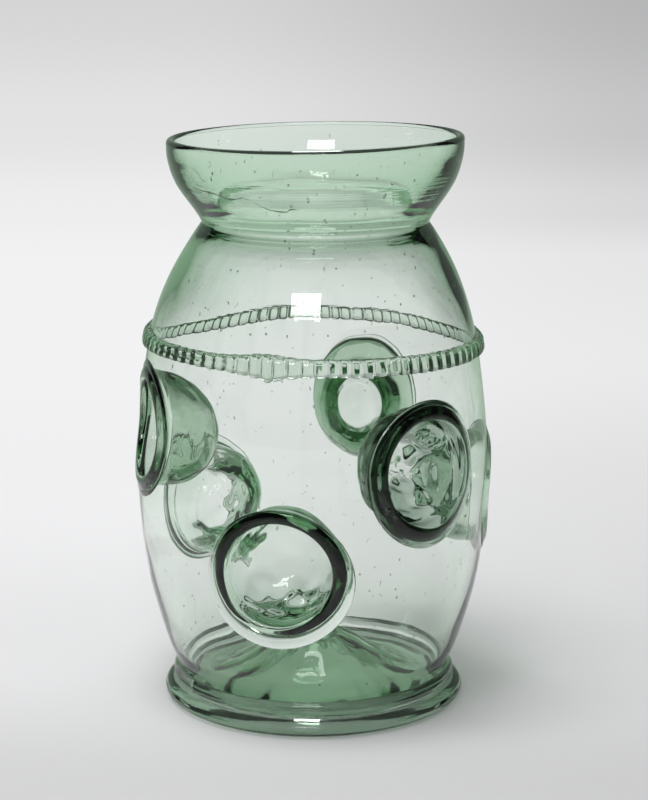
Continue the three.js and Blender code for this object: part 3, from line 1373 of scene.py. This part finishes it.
@dataclass
class FootCoil:
    """One turn of the wound foot, laid round the heel."""

    wall: BlownWall
    name: str
    bottom: float
    height: float
    radius: float
    land: float
    seed: float
    cut: float = 0.0
    cut_azimuth: float = -58.0
    cut_run: float = 34.0
    sunk: float = 0.05
    ridge_height: float = 0.04
    ridge_pitch: float = 1.45
    ridge_fullness: float = 1.6
    waver: float = 0.35
    waver_size: float = 40.0
    ripple: float = 0.12
    ripple_size: float = 12.0
    inset: float = 0.25
    cut_edge: float = 1.6
    cut_fades_from: float = 3.0
    flat_steps: int = 6
    round_steps: int = 60
    steps: int = 300
    sharp_from: float = 50.0

    def section(self) -> list[Point]:
        """Draws the round section of the turn.

        Returns:
            The closed outline, flat against the heel.
        """
        half = self.height / 2.0
        top = self.bottom + self.height
        points = []
        for i in range(self.flat_steps + 1):
            level = blend(top, self.bottom, i / self.flat_steps)
            points.append((value_at(self.wall.outline, level) - self.sunk, level))
        for i in range(1, self.round_steps):
            angle = math.pi * i / self.round_steps
            start = self.bottom if 2 * i < self.round_steps else top
            land = value_at(self.wall.outline, start) - self.sunk + self.land
            level = self.bottom + half - half * math.cos(angle)
            ridge = self.ridge_height * min(self.ridge_fullness * math.sin(angle), 1.0)
            out = blend(land, self.radius - self.ridge_height, math.sin(angle))
            wave = math.sin(2.0 * math.pi * (level - self.bottom) / self.ridge_pitch)
            points.append((out + ridge * wave, level))
        return [*points, points[0]]

    def wound(self, point: Vector) -> Vector:
        """Moves a point as the trail was wound by hand.

        Args:
            point: the point as spun.

        Returns:
            Its place in the foot.
        """
        azimuth, radius = azimuth_of(point), math.hypot(point.x, point.y)
        heel = value_at(self.wall.outline, point.z)
        share = ease(radius, heel + 0.4, self.radius)
        waver = self.waver * unevenness(azimuth, 0.0, 0.0, self.waver_size, self.seed)
        waver += self.ripple * unevenness(azimuth, 0.0, point.z * 4.0, self.ripple_size, self.seed + 1.0)
        behind = turned(self.cut_azimuth - azimuth)
        step = 0.0
        if behind > 0.0:
            fade = ease(behind, self.cut_fades_from, self.cut_run)
            step = self.cut * ease(behind, 0.0, self.cut_edge) * (1.0 - fade)
        radius += (waver - self.inset - step) * share
        return placed_round(azimuth, radius, point.z)

    def build(self) -> bpy.types.Object:
        """Builds the turn."""
        return form(self.name + "_glass", self.section(), self.steps, self.wound, self.sharp_from)


# Studio


@dataclass(frozen=True)
class Lamp:
    """A soft lamp: where it hangs by azimuth and height in degrees, and how bright its face is.

    The distance and the size are in metres, and a glow of 1 is white. One that isn't mirrored
    lights the scene without showing in the glass.
    """

    name: str
    azimuth: float
    height: float
    distance: float
    size: Point
    glow: float
    mirrored: bool = True

    def hang(self, middle: Vector) -> None:
        """Hangs the lamp, facing a given place.

        Args:
            middle: the place that it faces.
        """
        turn, lift = math.radians(self.azimuth), math.radians(self.height)
        way = Vector((math.sin(turn) * math.cos(lift), -math.cos(turn) * math.cos(lift), math.sin(lift)))
        data = bpy.data.lights.new(self.name, "AREA")
        data.shape = "RECTANGLE"
        data.size, data.size_y = self.size
        data.energy = self.glow * 4.0 * self.size[0] * self.size[1]
        lamp = bpy.data.objects.new(self.name, data)
        lamp.location = middle + way * self.distance
        lamp.rotation_euler = way.to_track_quat("Z", "Y").to_euler()
        lamp.visible_glossy = self.mirrored
        lamp.visible_transmission = self.mirrored
        bpy.context.scene.collection.objects.link(lamp)


@dataclass
class Studio:
    """A pale sweep, a softbox before the glass, a strip and a broad lamp above, and the camera.

    The tones paint the fall of the light on the paper: each has its distance back in metres, its left side
    and its right side, brightest behind the glass on the left and darker before the glass, at the top and
    on the right.
    """

    sweep_front: float = -1600.0
    sweep_bend: float = 1250.0
    sweep_radius: float = 700.0
    sweep_top: float = 1500.0
    sweep_width: float = 4200.0
    sweep_turns: int = 20
    lamps: tuple[Lamp, ...] = (
        Lamp("softbox_front", azimuth=-6.0, height=38.3, distance=1.3, size=(0.45, 0.22), glow=8.0),
        Lamp(
            "broad_lamp_above", azimuth=-48.0, height=75.0, distance=1.8, size=(0.9, 0.9), glow=7.5,
            mirrored=False,
        ),
        Lamp("strip_above", azimuth=-4.0, height=88.0, distance=1.3, size=(0.45, 0.14), glow=5.0),
    )
    lamps_face: Triple = (0.0, 0.0, 0.1)
    camera_place: Triple = (3.95, -746.13, 270.46)
    camera_down: float = 0.216147
    camera_lens: float = 97.37
    camera_film: float = 36.0
    world_light: float = 0.3
    world_seen: float = 0.05
    world_mirrored: float = 0.04
    horizon_seen: float = 0.75
    horizon: Point = (0.2, 0.5)
    # Painted shade: what the glass mirrors of the paper is darkened and tinted green by this colour,
    # darkening the edges of the glass.
    paper_mirrored_shade: Triple = (0.46, 0.60, 0.47)
    lit_within: float = 0.2
    lit_until: float = 0.42
    tone_from: float = -0.6
    tone_to: float = 2.0
    # Painted light: the paper's tone by distance back, on its left side and its right side.
    painted_light_tones: tuple[Triple, ...] = (
        (-0.55, 0.76, 0.76), (-0.32, 0.62, 0.60), (-0.1, 0.59, 0.56), (0.03, 0.74, 0.67),
        (0.3, 0.87, 0.76), (0.6, 0.89, 0.82), (1.0, 0.885, 0.79), (1.35, 0.85, 0.68),
        (1.55, 0.77, 0.56), (1.75, 0.66, 0.46), (1.95, 0.62, 0.46),
    )
    tone_blue: float = 1.012
    side_from: float = -0.08
    side_to: float = 0.17
    side_vanishes: float = 0.8
    side_least: float = 0.4
    bounces: int = 24

    def add_sweep(self) -> None:
        """Builds the floor and backdrop in one bent sheet."""
        deselect_all()
        bpy.ops.mesh.primitive_plane_add(size=1.0, location=(0.0, 0.0, 0.0))
        sweep = bpy.context.object
        sweep.name = "pale_sweep"
        deep = (self.sweep_bend - self.sweep_front) * MM
        middle = (self.sweep_bend + self.sweep_front) / 2.0 * MM
        with edited(sweep):
            bpy.ops.transform.resize(value=(self.sweep_width * MM, deep, 1.0))
            bpy.ops.transform.translate(value=(0.0, middle, 0.0))
            bpy.ops.mesh.select_all(action="DESELECT")
        for edge in sweep.data.edges:
            ends = [sweep.data.vertices[i].co.y for i in edge.vertices]
            edge.select = min(ends) > middle
        for vertex in sweep.data.vertices:
            vertex.select = vertex.co.y > middle
        bpy.ops.object.mode_set(mode="EDIT")
        bpy.ops.mesh.select_mode(type="EDGE")
        for i in range(self.sweep_turns):
            start, end = (math.pi / 2.0 * (i + k) / self.sweep_turns for k in (0, 1))
            along = (math.sin(end) - math.sin(start)) * self.sweep_radius * MM
            up = (math.cos(start) - math.cos(end)) * self.sweep_radius * MM
            bpy.ops.mesh.extrude_region_move(TRANSFORM_OT_translate={"value": (0.0, along, up)})
        rest = (self.sweep_top - self.sweep_radius) * MM
        bpy.ops.mesh.extrude_region_move(TRANSFORM_OT_translate={"value": (0.0, 0.0, rest)})
        bpy.ops.mesh.select_mode(type="VERT")
        bpy.ops.object.mode_set(mode="OBJECT")
        bpy.ops.object.shade_smooth()
        sweep.data.materials.append(self.paper())

    def paper(self) -> bpy.types.Material:
        """Builds the pale paper of the sweep: lit by the lamps near the glass, glowing with its painted
        light further away.

        Returns:
            The material.
        """
        material = bpy.data.materials.new("pale_paper")
        material.use_nodes = True
        wiring = Wiring(material.node_tree)
        place = wiring.add("TexCoord", "Object")
        # The painted light of the paper, its colour under the lamps and its glow further away.
        tone = self.paper_painted_light(wiring, place)
        sheet = wiring.nodes["Principled BSDF"]
        wiring.feed(sheet, {"Base Color": tone, "Roughness": 1.0, "Specular IOR Level": 0.0})
        path = wiring.nodes.new("ShaderNodeLightPath").outputs
        # Painted shade: the paper that the glass mirrors is darkened and tinted green.
        mirrored = wiring.mixed(path["Glossy Depth"], tone, (*self.paper_mirrored_shade, 1.0), "MULTIPLY")
        glow = wiring.add("Emission", "Emission", {"Color": mirrored})
        seen = wiring.worked("ADD", path["Is Camera Ray"], path["Is Glossy Ray"], clamped=True)
        seen = wiring.worked("ADD", seen, path["Is Transmission Ray"], clamped=True)
        flat = wiring.add("Mapping", "Vector", {"Vector": place, "Scale": (1.0, 1.0, 0.0)})
        away = wiring.add("VectorMath", "Value", {0: flat}, operation="LENGTH")
        far = wiring.ranged(away, self.lit_within, self.lit_until, soft=True)
        share = wiring.worked("MULTIPLY", far, seen)
        look = wiring.add("MixShader", "Shader", {"Fac": share, 1: sheet.outputs["BSDF"], 2: glow})
        wiring.feed(wiring.nodes["Material Output"], {"Surface": look})
        return material

    def paper_painted_light(self, wiring: Wiring, place: bpy.types.NodeSocket) -> bpy.types.NodeSocket:
        """Paints the fall of the light on the paper as its colour: brightest behind the glass on the left,
        darker above, below and right.

        Args:
            wiring: the nodes of the material.
            place: the object coordinates.

        Returns:
            The colour.
        """
        aside, back = (wiring.add("SeparateXYZ", axis, {"Vector": place}) for axis in "XY")
        run = wiring.ranged(back, self.tone_from, self.tone_to)
        left, right = (self.painted_light_ramp(wiring, run, column) for column in (1, 2))
        wide = wiring.worked("MAXIMUM", wiring.worked("ADD", back, self.side_vanishes), self.side_least)
        side = wiring.worked("DIVIDE", aside, wide)
        return wiring.mixed(wiring.ranged(side, self.side_from, self.side_to, soft=True), left, right)

    def painted_light_ramp(self, wiring: Wiring, run: bpy.types.NodeSocket, column: int) -> bpy.types.NodeSocket:
        """Paints the light on one side of the paper from front to back.

        Args:
            wiring: the nodes of the material.
            run: how far back a place lies, from 0 to 1.
            column: the column of the tones that holds this side.

        Returns:
            The colour.
        """
        ramp = wiring.nodes.new("ShaderNodeValToRGB")
        ramp.color_ramp.interpolation = "EASE"
        marks = ramp.color_ramp.elements
        while len(marks) < len(self.painted_light_tones):
            marks.new(0.5)
        for mark, row in zip(marks, self.painted_light_tones):
            mark.position = (row[0] - self.tone_from) / (self.tone_to - self.tone_from)
            mark.color = (row[column], row[column], row[column] * self.tone_blue, 1.0)
        wiring.feed(ramp, {"Fac": run})
        return ramp.outputs["Color"]

    def add_world(self) -> None:
        """Sets the dim light of the room, which the glass shows as near dark."""
        world = bpy.data.worlds.new("dim_room")
        world.use_nodes = True
        wiring = Wiring(world.node_tree)
        path = wiring.nodes.new("ShaderNodeLightPath").outputs
        up = wiring.add("SeparateXYZ", "Z", {"Vector": wiring.add("TexCoord", "Object")})
        seen = wiring.ranged(up, *self.horizon, self.horizon_seen, self.world_seen, soft=True)
        seen = wiring.ranged(path["Glossy Depth"], 0.0, 1.0, seen, self.world_mirrored)
        level = wiring.ranged(path["Is Diffuse Ray"], 0.0, 1.0, seen, self.world_light)
        wiring.feed(wiring.nodes["Background"], {"Color": WHITE, "Strength": level})
        bpy.context.scene.world = world

    def add_camera(self) -> None:
        """Sets the camera where the photograph was taken from."""
        data = bpy.data.cameras.new("camera")
        data.lens = self.camera_lens
        data.sensor_width = self.camera_film
        data.clip_start = 0.01
        camera = bpy.data.objects.new("camera", data)
        camera.location = Vector(self.camera_place) * MM
        camera.rotation_euler = (math.pi / 2.0 - self.camera_down, 0.0, 0.0)
        bpy.context.scene.collection.objects.link(camera)
        bpy.context.scene.camera = camera

    def build(self) -> None:
        """Sets up the floor, the lamps, the room and the camera."""
        self.add_sweep()
        for lamp in self.lamps:
            lamp.hang(Vector(self.lamps_face))
        self.add_world()
        self.add_camera()
        bpy.context.scene.view_settings.view_transform = "Standard"
        bpy.context.scene.cycles.transmission_bounces = self.bounces
        bpy.context.scene.cycles.max_bounces = self.bounces


# The whole glass


@dataclass
class ThumbGlass:
    """The glass with all its pieces and their finishes."""

    wall: BlownWall = field(default_factory=BlownWall)
    cup_places: tuple[CupPlace, ...] = (
        CupPlace(
            "thumb_cup_left", -76.0, CupRow.UPPER, stray=3.0, wide=1.0, tall=1.0, seed=1.3,
            taper=0.35, shift=(0.0, -2.0), lumps=0.9, proud=0.9, glass=CupGlass.FULL,
        ),
        CupPlace(
            "thumb_cup_front", -11.0, CupRow.LOWER, stray=-2.0, wide=1.03, tall=1.05, seed=2.1,
            shift=(0.0, 1.0), drop=2.2, proud=1.3,
        ),
        CupPlace(
            "thumb_cup_right_front", 39.5, CupRow.UPPER, stray=-5.1, wide=0.96, tall=1.04, seed=3.4,
            taper=0.85, hollow_shift=(-1.2, 0.4), lumps=3.2, drop=0.4, proud=1.4,
            swirl=Swirl(-10.5, 7.0, 13.0), glass=CupGlass.DEEP,
        ),
        CupPlace(
            "thumb_cup_right", 96.0, CupRow.LOWER, stray=12.2, wide=0.97, tall=0.97, seed=4.2, taper=0.3
        ),
        CupPlace(
            "thumb_cup_back", 160.0, CupRow.UPPER, stray=0.5, wide=0.86, tall=0.98, seed=5.9,
            taper=1.0, shift=(3.8, 0.0), lumps=0.7, proud=0.9, full=1.18, glass=CupGlass.FULL,
        ),
        CupPlace(
            "thumb_cup_back_left", -134.5, CupRow.LOWER, stray=-1.0, wide=0.98, tall=0.98, seed=6.6,
            taper=0.5, shift=(-2.0, 0.0), hollow_shift=(-1.8, 1.6), lumps=1.3,
        ),
    )

    def build(self) -> None:
        """Builds every piece, gives it its finish and sets it in the frame in place of its CAD node."""
        body_finish = GlassFinish(
            "vessel_forest_glass", wave_height=0.014, tool_mark_height=0.018, tool_mark_from=138.0
        ).make()
        cup_finishes = {
            glass: GlassFinish(
                f"{glass.name.lower()}_cup_forest_glass", tint=glass.value, wave_size=9.0, wave_height=0.012
            ).make()
            for glass in CupGlass
        }
        thread_finish = GlassFinish(
            "thread_forest_glass", tint=(0.078, 0.040, 0.074), wave_size=4.0, wave_height=0.02
        ).make()
        # Painted light: the foot's tint is weaker than the body's, lightening the foot that the shade
        # beneath it darkens.
        foot_finish = GlassFinish(
            "foot_forest_glass", tint=(0.031, 0.015, 0.028), wave_size=8.0, wave_height=0.02,
            tool_mark_height=0.016, tool_mark_from=-30.0, scuff=0.12, scuff_below=3.0,
            shade_facing=0.95, shade_edge=0.65,
        ).make()
        cups = [ThumbCup(self.wall, place) for place in self.cup_places]
        hand_in(Vessel(self.wall, cups).build(), body_finish, ["vessel"])
        for cup in cups:
            hand_in(cup.build(), cup_finishes[cup.place.glass], [cup.place.node])
        hand_in(MilledThread(self.wall).build(), thread_finish, ["milled_thread"])
        upper = FootCoil(
            self.wall, "upper_foot_coil", bottom=5.92, height=5.75, radius=50.7, land=0.1, seed=4.1, cut=1.5
        )
        lower = FootCoil(
            self.wall, "lower_foot_coil", bottom=0.0, height=5.9, radius=53.7, land=3.2, seed=1.7
        )
        for coil in (upper, lower):
            hand_in(coil.build(), foot_finish, [coil.name])


def main() -> None:
    """Builds the glass and the studio."""
    logging.basicConfig(level=logging.INFO, format="%(name)s: %(message)s")
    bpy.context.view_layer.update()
    deselect_all()
    ThumbGlass().build()
    Studio().build()
    deselect_all()


if __name__ == "__main__":
    main()
